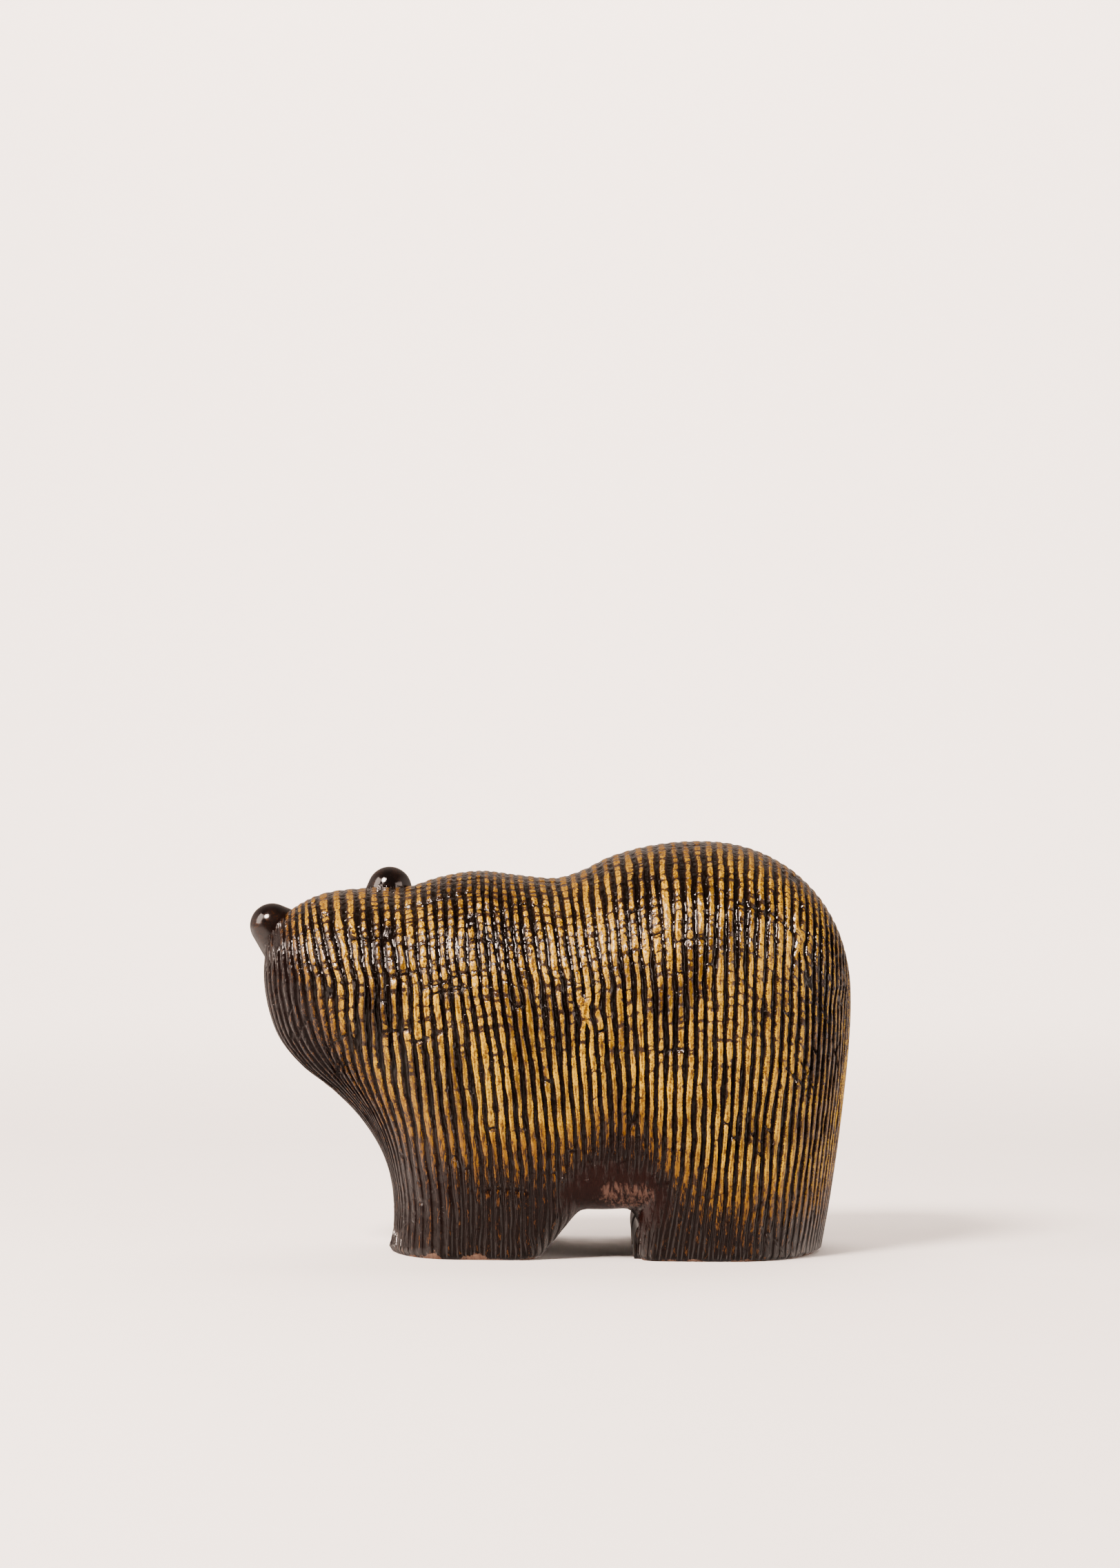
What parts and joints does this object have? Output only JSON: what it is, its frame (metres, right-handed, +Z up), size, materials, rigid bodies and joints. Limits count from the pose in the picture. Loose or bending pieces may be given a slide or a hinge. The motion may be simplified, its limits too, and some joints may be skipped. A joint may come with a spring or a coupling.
{
  "type": "ceramic bear figurine",
  "caption": "Standing stoneware bear with carved upright ribs, knob ears and a leg arch, its head turned to one side.",
  "frame": {"origin": "on the floor, under the middle of the figurine's box", "axes": "-X the way the body walks, +Y the side the face turns to, +Z up"},
  "size_m": [0.172, 0.0874, 0.1156],
  "materials": {
    "glaze": "glossy dark brown glaze pooled in the grooves, wiped honey amber on the ribs"
  },
  "bodies": {
    "root": {"bear": "glaze"}
  },
  "joints": []
}
